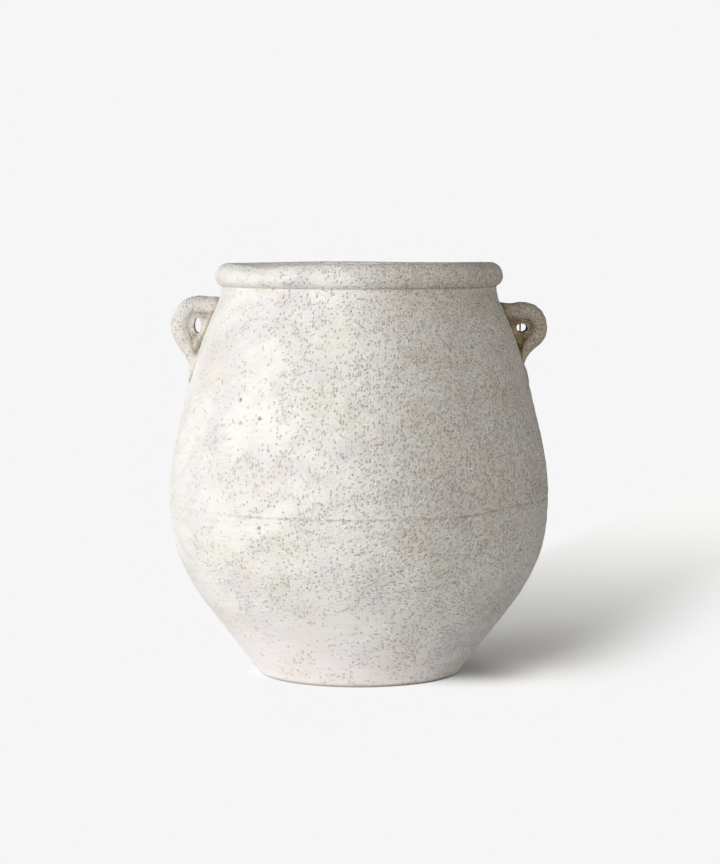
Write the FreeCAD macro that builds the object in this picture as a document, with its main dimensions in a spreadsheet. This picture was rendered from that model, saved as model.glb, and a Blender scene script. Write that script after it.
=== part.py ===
import FreeCAD, Part
import math
import os

import Sketcher
from FreeCAD import Placement, Rotation, Vector

# A hand-thrown clay storage jar with a rolled rim and two small ear handles, 350 mm tall.
# It is built up the way a potter builds it: a flat base disc, a lower wall set on the disc, an
# upper wall joined on at the belly, and a rolled rim set on the neck. Soft coils are pressed
# into the floor corner and over the inside of the belly joint, and two ear handles are luted
# to the shoulder. Each edge joint has a scored ridge that sits in a groove.
# Z is up and the foot stands on Z = 0. The handles are at -X (left) and +X (right).

# The driving sizes, in millimetres.
SIZES = {
    "pot_height": 350,  # foot to crown of the rim
    "foot_radius": 84,  # the base, before its edge is worn round
    "foot_edge_round": 6,
    "floor_thickness": 14,
    "belly_radius": 161,  # the widest place
    "belly_height": 150,  # where the upper wall was joined to the lower one
    "neck_radius": 116.5,  # outside, just under the rim
    "neck_hollow": 12,  # how far below the rim's seat the neck's hollow starts
    "neck_straight": 2,  # upright edge that the rim is set on
    "neck_flare": 2.1,  # how far the foot of the neck stands out
    "rim_height": 20,
    "rim_overhang": 5.5,  # how far the rolled rim stands out from the neck
    "rim_lip": 2,  # how far the rim stands in from the neck's inside
    "lip_drop": 7,  # crown to the start of the straight throat
    "wall": 10,  # belly and shoulder, measured level
    "neck_wall": 9.5,
    "hip_wall": 11,
    "cone_wall": 13,
    "foot_wall": 16,  # where the wall stands on the base disc
    "cone_arc": 160,  # the arcs of the outline, from the foot up
    "hip_arc": 160,
    "shoulder_arc": 200,
    "slope_arc": 1000,
    "collar_arc": 300,
    "neck_arc": 24,
    "rim_under_arc": 9,
    "rim_top_arc": 12,
    "lip_arc": 7.5,
    "key_width": 5,  # the groove of a scored joint
    "key_depth": 4,
    "slip_gap": 0.4,  # dried slip between ridge and groove
    "floor_coil_width": 22,
    "floor_coil_arc": 42,
    "seam_coil_height": 20,
    "seam_coil_arc": 18,
    "handle_reach": 22,  # how far the middle of the loop stands out, less its turn at the top
    "handle_thickness": 17,  # the strap, from the hole to the outside
    "handle_width": 26,
    "smear_thickness": 11,  # clay smeared over the wall inside the loop, half of it in the wall
    "smear_clearance": 2,  # how much shorter the smear is than the rise that the handle spans
}

# Places along the outline, as shares of the sizes that they follow.
SHARES = {
    "cone_height_share": 0.387,  # of the belly's height
    "cone_radius_share": 0.578,  # of the way from the foot out to the belly
    "hip_height_share": 0.707,
    "hip_radius_share": 0.92,
    "shoulder_height_share": 0.222,  # of the way from the belly up to the rim's seat
    "shoulder_radius_share": 0.91,  # of the way from the neck out to the belly
    "slope_height_share": 0.667,
    "slope_radius_share": 0.47,
    "rim_middle_share": 0.42,  # widest place of the rim, from its seat
    "rim_crown_share": 0.45,  # top of the rim, from the mouth out
    "floor_coil_rise_share": 0.35,  # of the way up the straight part of the inner wall
    "smear_place_share": 0.5,  # of the way up the wall that the handle spans
}

# Radii, heights and inner arcs worked out from the sizes above.
PLACES = {
    "rim_seat": "=pot_height - rim_height",
    "cone_height": "=belly_height * cone_height_share",
    "cone_radius": "=foot_radius + (belly_radius - foot_radius) * cone_radius_share",
    "cone_inside": "=cone_radius - cone_wall",
    "hip_height": "=belly_height * hip_height_share",
    "hip_radius": "=foot_radius + (belly_radius - foot_radius) * hip_radius_share",
    "hip_inside": "=hip_radius - hip_wall",
    "hip_arc_inside": "=hip_arc - wall",
    "cone_arc_inside": "=cone_arc - hip_wall",
    "belly_inside": "=belly_radius - wall",
    "seam_low": "=belly_height - seam_coil_height / 2",
    "seam_high": "=belly_height + seam_coil_height / 2",
    "shoulder_height": "=belly_height + (rim_seat - belly_height) * shoulder_height_share",
    "shoulder_radius": "=neck_radius + (belly_radius - neck_radius) * shoulder_radius_share",
    "shoulder_inside": "=shoulder_radius - wall",
    "shoulder_arc_inside": "=shoulder_arc - wall",
    "slope_height": "=belly_height + (rim_seat - belly_height) * slope_height_share",
    "slope_radius": "=neck_radius + (belly_radius - neck_radius) * slope_radius_share",
    "slope_inside": "=slope_radius - wall",
    "slope_arc_inside": "=slope_arc - wall",
    "collar_height": "=rim_seat - neck_hollow",
    "collar_radius": "=neck_radius + neck_flare",
    "collar_inside": "=collar_radius - wall",
    "collar_arc_inside": "=collar_arc - wall",
    "neck_height": "=rim_seat - neck_straight",
    "neck_inside": "=neck_radius - neck_wall",
    "mouth_radius": "=neck_inside - rim_lip",
    "rim_radius": "=neck_radius + rim_overhang",
    "rim_middle": "=rim_seat + rim_height * rim_middle_share",
    "rim_crown": "=mouth_radius + (rim_radius - mouth_radius) * rim_crown_share",
    "throat_top": "=pot_height - lip_drop",
    "floor_edge": "=foot_radius + (cone_radius - foot_radius) * floor_thickness / cone_height",
    "floor_corner": "=floor_edge - foot_wall",
    "floor_coil_rim": "=floor_corner - floor_coil_width",
    "floor_coil_top": "=floor_thickness + (cone_height - floor_thickness) * floor_coil_rise_share",
    "floor_coil_out": "=floor_corner + (cone_inside - floor_corner) * floor_coil_rise_share",
    "wall_slant": "=slope_radius - neck_radius",
    "handle_fall": "=collar_height - slope_height",
    "smear_length": "=handle_fall - smear_clearance",
}

# The three scored joints: the height of each edge, and the middle of its ridge and groove.
JOINTS = {
    "base_joint": ("floor_thickness", "floor_edge - foot_wall / 2"),
    "belly_joint": ("belly_height", "belly_radius - wall / 2"),
    "neck_joint": ("rim_seat", "neck_radius - neck_wall / 2"),
}

# Each handle is drawn through these cross-sections, from its upper root in the wall, over the
# top of the loop and down to its lower root. A row holds how far out from the slanting wall, as a
# share of handle_reach, and how far up along handle_fall the section stands, how far the strap
# has turned there from pointing straight out (degrees), and the section's thickness and width as
# shares of the handle's own.
RIGHT_LOOP_SHARES = [
    (-0.462, 0.730, 5, 1.50, 1.45),
    (-0.024, 0.735, 5, 1.20, 1.22),
    (0.391, 0.742, 0, 1.06, 1.06),
    (0.869, 0.775, 10, 1.09, 1.00),
    (1.167, 0.692, 50, 1.09, 1.00),
    (1.099, 0.506, 90, 1.03, 1.00),
    (0.780, 0.333, 125, 0.98, 0.98),
    (0.404, 0.229, 136, 0.92, 0.98),
    (0.007, 0.052, 114, 0.80, 1.06),
    (-0.335, -0.146, 102, 0.74, 1.10),
    (-0.629, -0.354, 98, 0.70, 1.12),
]
LEFT_LOOP_SHARES = [
    (-0.405, 0.790, 2, 1.36, 1.45),
    (0.036, 0.823, 2, 1.28, 1.22),
    (0.419, 0.844, -3, 1.02, 1.06),
    (0.907, 0.879, 12, 1.09, 1.00),
    (1.150, 0.750, 48, 1.13, 1.00),
    (1.107, 0.562, 88, 1.25, 1.00),
    (0.787, 0.344, 112, 1.09, 0.98),
    (0.380, 0.156, 118, 0.89, 0.98),
    (-0.009, -0.062, 108, 0.78, 1.04),
    (-0.468, -0.281, 100, 0.76, 1.08),
]

# An arc of an outline either stands out of the clay or dips into it.
BULGES = 1
DIPS = -1


def make_sheet(doc):
    """One sheet with every size, share and place, each under its own name."""
    sheet = doc.addObject("Spreadsheet::Sheet", "Sizes")
    cells = {**SIZES, **SHARES, **PLACES}
    for joint, (height, middle) in JOINTS.items():
        cells[f"{joint}_groove_out"] = f"={middle} + key_width / 2"
        cells[f"{joint}_groove_in"] = f"={middle} - key_width / 2"
        cells[f"{joint}_ridge_out"] = f"={middle} + key_width / 2 - slip_gap"
        cells[f"{joint}_ridge_in"] = f"={middle} - key_width / 2 + slip_gap"
        cells[f"{joint}_middle"] = f"={middle}"
        cells[f"{joint}_groove_foot"] = f"={height} - key_depth"
        cells[f"{joint}_ridge_foot"] = f"={height} - key_depth + slip_gap"
    for row, (alias, value) in enumerate(cells.items(), start=1):
        sheet.set(f"A{row}", alias)
        sheet.set(f"B{row}", str(value))
        sheet.setAlias(f"B{row}", alias)
    doc.recompute()
    return sheet


def make_sketch(body, name):
    """A sketch on the body's own upright plane: across is the radius, up is the height."""
    sketch = body.newObject("Sketcher::SketchObject", name)
    plane = next(item for item in body.Origin.OriginFeatures if item.Role == "XZ_Plane")
    sketch.AttachmentSupport = (plane, [""])
    sketch.MapMode = "FlatFace"
    return sketch


def arc_between(start, end, radius, bend):
    """An arc from start to end. A bend of 1 puts its crest right of the way from start to end,
    and a bend of -1 left of it."""
    chord = end - start
    half = chord.Length / 2
    right = Vector(chord.y, -chord.x, 0).normalize()
    centre = (start + end) / 2 - right * bend * math.sqrt(radius**2 - half**2)
    circle = Part.Circle(centre, Vector(0, 0, 1), radius)
    first, last = (start, end) if bend > 0 else (end, start)
    first_angle, last_angle = (math.atan2(p.y - centre.y, p.x - centre.x) for p in (first, last))
    return Part.ArcOfCircle(circle, first_angle, last_angle)


def pin_corner(sketch, corner, place, start):
    """Holds a corner of a sketch at its named radius and height."""
    for name, kind, axis, value in (
        (corner[0], "DistanceX", -2, start.x),
        (corner[1], "DistanceY", -1, start.y),
    ):
        if name:
            number = sketch.addConstraint(Sketcher.Constraint(kind, -1, 1, *place, value))
            sketch.setExpression(f"Constraints[{number}]", f"Sizes.{name}")
        else:
            sketch.addConstraint(Sketcher.Constraint("PointOnObject", *place, axis))


def draw_outline(sketch, sheet, corners):
    """Draws a closed outline, outside first, so that the clay lies left of its way round. Each
    corner is a named radius and height, and None stands for the pot's axis or the ground. After
    a corner that also holds BULGES or DIPS and a named arc, the outline goes on as that arc."""
    points = [Vector(*(getattr(sheet, name) if name else 0 for name in c[:2]), 0) for c in corners]
    ends = []
    for number, corner in enumerate(corners):
        start = points[number]
        end = points[(number + 1) % len(points)]
        if len(corner) == 2:
            piece = sketch.addGeometry(Part.LineSegment(start, end), False)
            ends.append(((piece, 1), (piece, 2)))
            continue
        bend, arc = corner[2:]
        radius = getattr(sheet, arc)
        piece = sketch.addGeometry(arc_between(start, end, radius, bend), False)
        ends.append(((piece, 1), (piece, 2)) if bend > 0 else ((piece, 2), (piece, 1)))
        rounding = sketch.addConstraint(Sketcher.Constraint("Radius", piece, radius))
        sketch.setExpression(f"Constraints[{rounding}]", f"Sizes.{arc}")
    for number, corner in enumerate(corners):
        place = ends[number][0]
        sketch.addConstraint(Sketcher.Constraint("Coincident", *ends[number - 1][1], *place))
        pin_corner(sketch, corner, place, points[number])


def make_turned(doc, name, corners):
    """A piece turned about the pot's axis from a closed outline."""
    body = doc.addObject("PartDesign::Body", name)
    sketch = make_sketch(body, f"{name}_outline")
    draw_outline(sketch, doc.getObject("Sizes"), corners)
    turned = body.newObject("PartDesign::Revolution", f"{name}_turned")
    turned.Profile = sketch
    turned.ReferenceAxis = (sketch, ["V_Axis"])
    turned.Angle = 360
    doc.recompute()
    return body


def groove(joint):
    """The groove in the upper edge of the lower piece, from the outside in."""
    height = JOINTS[joint][0]
    return [
        (f"{joint}_groove_out", height),
        (f"{joint}_middle", f"{joint}_groove_foot"),
        (f"{joint}_groove_in", height),
    ]


def ridge(joint):
    """The ridge under the lower edge of the upper piece, from the inside out."""
    height = JOINTS[joint][0]
    return [
        (f"{joint}_ridge_in", height),
        (f"{joint}_middle", f"{joint}_ridge_foot"),
        (f"{joint}_ridge_out", height),
    ]


def upper_outside():
    """The outside of the upper wall, from the belly up to the rim's seat."""
    return [
        ("belly_radius", "belly_height", BULGES, "shoulder_arc"),
        ("shoulder_radius", "shoulder_height", BULGES, "slope_arc"),
        ("slope_radius", "slope_height", BULGES, "collar_arc"),
        ("collar_radius", "collar_height", DIPS, "neck_arc"),
        ("neck_radius", "neck_height"),
        ("neck_radius", "rim_seat"),
    ]


def make_base_disc(doc):
    """The flat disc that the jar stands on, with its lower edge worn round."""
    body = make_turned(doc, "base_disc", [
        (None, None),
        ("foot_radius", None),
        ("floor_edge", "floor_thickness"),
        *groove("base_joint"),
        (None, "floor_thickness"),
    ])
    turned = body.Tip
    rings = {
        f"Edge{number}": edge.Curve.Radius
        for number, edge in enumerate(turned.Shape.Edges, start=1)
        if isinstance(edge.Curve, Part.Circle) and abs(edge.Curve.Center.z) < edge.Tolerance
    }
    worn = body.newObject("PartDesign::Fillet", "base_disc_edge")
    worn.Base = (turned, [max(rings, key=rings.get)])
    worn.setExpression("Radius", "Sizes.foot_edge_round")
    doc.recompute()
    return body


def make_lower_wall(doc):
    """The bowl of the jar: straight above the foot, then rounding up to the belly."""
    return make_turned(doc, "lower_wall", [
        ("floor_edge", "floor_thickness"),
        ("cone_radius", "cone_height", BULGES, "cone_arc"),
        ("hip_radius", "hip_height", BULGES, "hip_arc"),
        ("belly_radius", "belly_height"),
        *groove("belly_joint"),
        ("belly_inside", "belly_height"),
        ("belly_inside", "seam_low", DIPS, "hip_arc_inside"),
        ("hip_inside", "hip_height", DIPS, "cone_arc_inside"),
        ("cone_inside", "cone_height"),
        ("floor_corner", "floor_thickness"),
        *ridge("base_joint"),
    ])


def make_upper_wall(doc):
    """The upper wall, from the belly over the shoulder to the neck."""
    return make_turned(doc, "upper_wall", [
        *upper_outside(),
        *groove("neck_joint"),
        ("neck_inside", "rim_seat"),
        ("neck_inside", "neck_height"),
        ("collar_inside", "collar_height", DIPS, "collar_arc_inside"),
        ("slope_inside", "slope_height", DIPS, "slope_arc_inside"),
        ("shoulder_inside", "shoulder_height", DIPS, "shoulder_arc_inside"),
        ("belly_inside", "seam_high"),
        ("belly_inside", "belly_height"),
        *ridge("belly_joint"),
    ])


def make_rolled_rim(doc):
    """The thick rolled rim, round outside and easing into a short straight throat."""
    return make_turned(doc, "rolled_rim", [
        ("neck_radius", "rim_seat", BULGES, "rim_under_arc"),
        ("rim_radius", "rim_middle", BULGES, "rim_top_arc"),
        ("rim_crown", "pot_height", BULGES, "lip_arc"),
        ("mouth_radius", "throat_top"),
        ("mouth_radius", "rim_seat"),
        *ridge("neck_joint"),
    ])


def make_floor_coil(doc):
    """The soft coil pressed hollow into the corner between the floor and the lower wall."""
    return make_turned(doc, "floor_coil", [
        ("floor_coil_rim", "floor_thickness"),
        ("floor_corner", "floor_thickness"),
        ("floor_coil_out", "floor_coil_top", DIPS, "floor_coil_arc"),
    ])


def make_seam_coil(doc):
    """The soft coil pressed over the inside of the belly joint."""
    return make_turned(doc, "seam_coil", [
        ("belly_inside", "seam_low"),
        ("belly_inside", "seam_high", BULGES, "seam_coil_arc"),
    ])


def make_wall_core(doc):
    """The space within the outside of the upper wall, which the handles are cut back to."""
    return make_turned(doc, "wall_core", [
        (None, "belly_height"),
        *upper_outside(),
        (None, "rim_seat"),
    ])


def make_strap(doc, name, side, loop_shares):
    """The bent strap of a handle, lofted through oval sections."""
    upright = Rotation(Vector(1, 1, 1), 120)
    across = Vector(0, 1, 0)
    sections = []
    for number, (out, up, turn, thickness, width) in enumerate(loop_shares, start=1):
        oval = doc.addObject("Part::Ellipse", f"{name}_section_{number}")
        oval.setExpression("MajorRadius", f"Sizes.handle_width / 2 * {width}")
        oval.setExpression("MinorRadius", f"Sizes.handle_thickness / 2 * {thickness}")
        # From 90 degrees to 90 is the whole oval. Begun on the flat of the strap, the ovals keep
        # the same way round as the handle grows taller.
        oval.Angle1 = 90
        oval.Angle2 = 90
        heading = turn if side > 0 else 180 - turn
        oval.Placement = Placement(Vector(), Rotation(across, heading) * upright)
        wall = f"Sizes.neck_radius + Sizes.wall_slant * (1 - {up})"
        place = f"{wall} + Sizes.handle_reach * {out}"
        oval.setExpression("Placement.Base.x", f"{side} * ({place})")
        oval.setExpression("Placement.Base.z", f"Sizes.slope_height + Sizes.handle_fall * {up}")
        sections.append(oval)
    strap = doc.addObject("Part::Loft", f"{name}_strap")
    strap.Sections = sections
    strap.MaxDegree = 3
    strap.Solid = True
    return strap


def make_smear(doc, name, side):
    """The pad of clay smeared over the wall inside the loop, leaning as the wall does."""
    sheet = doc.getObject("Sizes")
    smear = doc.addObject("Part::Ellipsoid", f"{name}_smear")
    smear.setExpression("Radius1", "Sizes.smear_length / 2")
    smear.setExpression("Radius2", "Sizes.smear_thickness / 2")
    smear.setExpression("Radius3", "Sizes.handle_width / 2")
    lean = math.degrees(math.atan2(sheet.slope_radius - sheet.collar_radius, sheet.handle_fall))
    smear.Placement = Placement(Vector(), Rotation(Vector(0, 1, 0), -side * lean))
    place = "Sizes.slope_radius + (Sizes.collar_radius - Sizes.slope_radius) * Sizes.smear_place_share"
    height = "Sizes.slope_height + Sizes.handle_fall * Sizes.smear_place_share"
    smear.setExpression("Placement.Base.x", f"{side} * ({place})")
    smear.setExpression("Placement.Base.z", height)
    return smear


def make_handle(doc, name, side, loop_shares, wall_core):
    """One ear handle, cut back to the wall that it is luted to. Side is 1 at +X and -1 at -X."""
    loop = doc.addObject("Part::Fuse", f"{name}_loop")
    loop.Base = make_strap(doc, name, side, loop_shares)
    loop.Tool = make_smear(doc, name, side)
    handle = doc.addObject("Part::Cut", name)
    handle.Base = loop
    handle.Tool = wall_core
    doc.recompute()
    return handle


def check_model(doc, pieces):
    """Stops before anything is written if a step or a piece failed."""
    for item in doc.Objects:
        if {"Invalid", "Error"} & set(item.State):
            raise RuntimeError(f"{item.Name} failed to build: {item.State}")
    for piece in pieces:
        if piece.Shape.isNull() or not piece.Shape.isValid() or len(piece.Shape.Solids) != 1:
            raise RuntimeError(f"{piece.Label} is not one valid solid")


def main():
    doc = FreeCAD.newDocument("pithos")
    make_sheet(doc)
    wall_core = make_wall_core(doc)
    pieces = [
        make_base_disc(doc),
        make_floor_coil(doc),
        make_lower_wall(doc),
        make_seam_coil(doc),
        make_upper_wall(doc),
        make_rolled_rim(doc),
        make_handle(doc, "left_handle", -1, LEFT_LOOP_SHARES, wall_core),
        make_handle(doc, "right_handle", 1, RIGHT_LOOP_SHARES, wall_core),
    ]
    check_model(doc, pieces)
    os.makedirs("parts", exist_ok=True)
    for piece in pieces:
        piece.Shape.exportStep(f"parts/{piece.Label}.step")


main()
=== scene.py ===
import math
from functools import partial

import bmesh
import bpy
import numpy as np
from bpy.props import FloatProperty, FloatVectorProperty, IntProperty, PointerProperty
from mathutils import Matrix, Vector, noise
from mathutils.bvhtree import BVHTree


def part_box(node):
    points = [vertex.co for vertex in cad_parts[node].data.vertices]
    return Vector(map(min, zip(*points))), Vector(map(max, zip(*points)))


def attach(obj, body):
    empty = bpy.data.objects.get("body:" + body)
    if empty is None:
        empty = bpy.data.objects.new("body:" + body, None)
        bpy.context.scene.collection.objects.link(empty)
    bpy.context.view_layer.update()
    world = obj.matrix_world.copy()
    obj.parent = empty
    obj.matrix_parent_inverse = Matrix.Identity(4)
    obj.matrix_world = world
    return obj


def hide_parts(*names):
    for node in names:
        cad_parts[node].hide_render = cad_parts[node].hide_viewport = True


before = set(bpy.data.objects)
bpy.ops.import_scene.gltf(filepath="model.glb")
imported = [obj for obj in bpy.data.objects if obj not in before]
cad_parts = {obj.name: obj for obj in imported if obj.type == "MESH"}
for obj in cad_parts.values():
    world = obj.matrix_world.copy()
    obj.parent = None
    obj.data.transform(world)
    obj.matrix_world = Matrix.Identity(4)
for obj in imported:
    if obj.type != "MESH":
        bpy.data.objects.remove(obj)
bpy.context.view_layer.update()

bl_info = {
    "name": "Pithos",
    "version": (1, 0, 0),
    "blender": (4, 5, 0),
    "location": "3D View > Sidebar > Pithos",
    "description": "Builds a hand-thrown storage jar, piece by piece, over its CAD frame",
    "category": "Add Mesh",
}

# The jar stands on z = 0 about the z axis, with its handles at +x and -x and the viewer of the
# photograph at -y. Lengths are metres, and MM turns millimetres into them.
MM = 0.001

# Sizes of the section that the panel leaves out, in millimetres.
NECK_HOLLOW = 12  # from the rim's seat down to the neck's hollow
NECK_FLARE = 2.1  # how far the foot of the neck stands out
NECK_STRAIGHT = 2  # the upright edge under the rim
NECK_WALL = 9.5
RIM_LIP = 2  # how far the rim stands in from the neck's inside
LIP_DROP = 7  # from the crown to the upright throat
HIP_WALL = 11
CONE_WALL = 13
FOOT_WALL = 16  # where the wall stands on the base disc
KEY_WIDTH = 5  # the groove of a scored joint
KEY_DEPTH = 4
SLIP_GAP = 0.4  # dried slip between a joint's ridge and groove
FLOOR_COIL_WIDTH = 22
SEAM_COIL_HEIGHT = 20

# Places on the outside, as shares: how far out from the foot, or from the neck, to the belly, and
# how far up to the belly, or from there to the rim's seat.
CONE_SHARES = (0.578, 0.387)
HIP_SHARES = (0.92, 0.707)
SHOULDER_SHARES = (0.91, 0.222)
SLOPE_SHARES = (0.47, 0.667)
RIM_MIDDLE_SHARE = 0.42  # the rim's widest place, from its seat up
RIM_CROWN_SHARE = 0.45  # the rim's top, from the mouth out
FLOOR_COIL_SHARE = 0.35  # how far up the straight inner wall the floor coil goes

# The radius of the arc that starts at each place of the outside, going up, in millimetres.
ARCS = {
    "cone": 160, "hip": 160, "belly": 200, "shoulder": 1000, "slope": 300, "collar": 24,
    "seat": 9, "rim": 12, "crown": 7.5,
}
FLOOR_COIL_ARC = 42
SEAM_COIL_ARC = 18
BULGES = 1
DIPS = -1

# How far round the clay each noise pattern starts, so that no two patterns share their lumps.
SEEDS = {
    "sway": Vector((3.1, 8.2, 1.7)),
    "lump": Vector((9.4, 2.6, 5.3)),
    "dent": Vector((1.2, 7.7, 4.1)),
    "grain": Vector((6.5, 0.9, 8.8)),
    "drift": Vector((4.4, 5.1, 2.9)),
    "stitch": Vector((7.3, 3.8, 0.4)),
}


def linear(text):
    """The linear colour of an sRGB hex value."""
    shares = [int(text[i:i + 2], 16) / 255 for i in (1, 3, 5)]
    curve = [s / 12.92 if s <= 0.04045 else ((s + 0.055) / 1.055) ** 2.4 for s in shares]
    return (*curve, 1.0)


def colour(text, name, description):
    """A colour property that starts at an sRGB hex value."""
    return FloatVectorProperty(
        name=name, description=description, default=linear(text),
        subtype="COLOR", size=4, min=0, max=1,
    )


def length(millimetres, name, description):
    """A length property that starts at a number of millimetres."""
    return FloatProperty(
        name=name, description=description, default=millimetres * MM,
        subtype="DISTANCE", unit="LENGTH", precision=4,
    )


def cad_top(node):
    """The highest point of a CAD node, in millimetres."""
    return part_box(node)[1].z / MM


def cad_reach(node):
    """How far a CAD node reaches out to the right, in millimetres."""
    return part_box(node)[1].x / MM


def strength(value, name, description):
    """A property for the strength of a light."""
    return FloatProperty(name=name, description=description, default=value)


class PithosSizes(bpy.types.PropertyGroup):
    """The jar's sizes."""

    pot_height: length(cad_top("rolled_rim"), "Height", "Foot to crown of the rim")
    foot_radius: length(84, "Foot", "Radius of the base before its edge is worn round")
    foot_round: length(6, "Foot edge", "How far the foot's edge is worn round")
    floor: length(cad_top("base_disc"), "Floor", "Thickness of the base disc")
    belly_radius: length(cad_reach("upper_wall"), "Belly", "Radius at the widest place")
    belly_height: length(cad_top("lower_wall"), "Belly height", "Where the two walls are joined")
    neck_radius: length(116.5, "Neck", "Outside radius just under the rim")
    rim_height: length(20, "Rim height", "From the crease under the rim to its crown")
    rim_radius: length(cad_reach("rolled_rim"), "Rim", "Outside radius of the rolled rim")
    wall: length(10, "Wall", "Thickness of the belly and shoulder")
    ring_spacing: length(12, "Ring spacing", "Height between two throwing rings")
    ring_depth: length(0.2, "Ring depth", "How far a throwing ring stands out")
    finger_depth: length(1.1, "Finger ridges", "Depth of the finger ridges inside")
    sway: length(0.9, "Sway", "How far the wall strays from a true round")
    lump: length(0.4, "Lumps", "Height of the broad lumps under the slip")
    dent: length(0.14, "Dents", "Height of the small lumps and dents under the slip")
    seam_depth: length(0.75, "Belly seam", "Depth of the line where the walls were joined")
    steps: IntProperty(name="Steps", description="Steps round the jar", default=590, min=48, max=590)


class PithosClay(bpy.types.PropertyGroup):
    """The colours and the grit of the clay and its slip."""

    # Slip's colour also lightens the tops of raised grains, partly as a painted highlight.
    slip: colour("#EDEBE7", "Slip", "Chalky white slip where it is thick")
    cream: colour("#DED6C4", "Cream slip", "Warmer slip, in clouds")
    lilac: colour("#E0D9DC", "Lilac slip", "Pinkish grey smears of thin slip")
    # Thin slip's colour is also laid up the right side and on the handles as painted shade.
    thin: colour("#BFAF97", "Thin slip", "Khaki clay that shows through thin slip")
    bare: colour("#AC9474", "Bare clay", "Unslipped buff clay")
    # Stain and speck also paint the shade in creases and at the foot's edge.
    stain: colour("#86703F", "Stain", "Tan stain in creases and round iron specks")
    speck: colour("#5A4C3C", "Speck", "Dark iron specks and pits")
    grit: length(1.8, "Grit", "Width of a sand grain, drawn coarse enough to show")
    grit_height: length(0.2, "Grit height", "How far a sand grain stands out")
    brush: length(2.4, "Brush", "Width of a brush hair's streak, drawn coarse enough to show")


class PithosStudio(bpy.types.PropertyGroup):
    """The camera and lights."""

    lens: FloatProperty(
        name="Lens", description="Focal length for a 36 mm long side", default=113.25,
        subtype="DISTANCE_CAMERA",
    )
    distance: length(2306, "Distance", "From the jar's axis to the camera")
    height: length(389.6, "Height", "Height of the camera")
    tilt: FloatProperty(
        name="Tilt", description="How far the camera looks down", default=math.radians(4.565),
        subtype="ANGLE",
    )
    key: strength(1.34, "Key light", "Strength of the window on the left")
    side: strength(1.5, "Side light", "Strength of the light far left")
    front: strength(0.7, "Front light", "Strength of the light that casts the shadow")
    fill: strength(1.42, "Fill light", "Strength of the light on the right")
    room: strength(0.06, "Room light", "Strength of the light all round")
    paper: colour("#F6F6F6", "Paper", "Colour that the floor and background show")


def sizes():
    """The sizes as the panel holds them."""
    return bpy.context.scene.pithos_sizes


def outline():
    """Named places on the jar's section, each a radius and a height in millimetres."""
    s = sizes()
    foot, belly, neck = s.foot_radius / MM, s.belly_radius / MM, s.neck_radius / MM
    up, top, wall = s.belly_height / MM, s.pot_height / MM, s.wall / MM
    seat = top - s.rim_height / MM
    rim, mouth = s.rim_radius / MM, neck - NECK_WALL - RIM_LIP
    cone = (foot + (belly - foot) * CONE_SHARES[0], up * CONE_SHARES[1])
    hip = (foot + (belly - foot) * HIP_SHARES[0], up * HIP_SHARES[1])
    shoulder = (neck + (belly - neck) * SHOULDER_SHARES[0], up + (seat - up) * SHOULDER_SHARES[1])
    slope = (neck + (belly - neck) * SLOPE_SHARES[0], up + (seat - up) * SLOPE_SHARES[1])
    collar = (neck + NECK_FLARE, seat - NECK_HOLLOW)
    floor = s.floor / MM
    edge = foot + (cone[0] - foot) * floor / cone[1]
    return {
        "foot": (foot, 0), "edge": (edge, floor), "cone": cone, "hip": hip, "belly": (belly, up),
        "shoulder": shoulder, "slope": slope, "collar": collar,
        "neck": (neck, seat - NECK_STRAIGHT), "seat": (neck, seat),
        "rim": (rim, seat + s.rim_height / MM * RIM_MIDDLE_SHARE),
        "crown": (mouth + (rim - mouth) * RIM_CROWN_SHARE, top),
        "lip": (mouth, top - LIP_DROP), "throat": (mouth, seat),
        "corner_in": (edge - FOOT_WALL, floor), "cone_in": (cone[0] - CONE_WALL, cone[1]),
        "hip_in": (hip[0] - HIP_WALL, hip[1]), "belly_in": (belly - wall, up),
        "seam_low": (belly - wall, up - SEAM_COIL_HEIGHT / 2),
        "seam_high": (belly - wall, up + SEAM_COIL_HEIGHT / 2),
        "shoulder_in": (shoulder[0] - wall, shoulder[1]), "slope_in": (slope[0] - wall, slope[1]),
        "collar_in": (collar[0] - wall, collar[1]),
        "neck_in": (neck - NECK_WALL, seat - NECK_STRAIGHT), "seat_in": (neck - NECK_WALL, seat),
    }


def arc_points(start, end, radius, bend, step):
    """Points from start up to end, which is left out, along an arc or, with no radius, a line."""
    start, end = Vector(start), Vector(end)
    chord = end - start
    count = max(1, math.ceil(chord.length / step))
    if not radius:
        return [start.lerp(end, i / count) for i in range(count)]
    half = chord.length / 2
    right = Vector((chord.y, -chord.x)).normalized()
    centre = (start + end) / 2 - right * bend * math.sqrt(radius ** 2 - half ** 2)
    first = start - centre
    sweep = first.angle_signed(end - centre)
    count = max(1, math.ceil(abs(sweep) * radius / step))
    points = []
    for i in range(count):
        turn = -sweep * i / count
        across = first.x * math.cos(turn) - first.y * math.sin(turn)
        up = first.x * math.sin(turn) + first.y * math.cos(turn)
        points.append(centre + Vector((across, up)))
    return points


def section(corners):
    """A closed section. Each corner is a radius, a height, the arc that leaves it and its step."""
    points = []
    for number, (across, up, radius, bend, step) in enumerate(corners):
        after = corners[(number + 1) % len(corners)]
        points += arc_points((across, up), after[:2], radius, bend, step)
    return points


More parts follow.
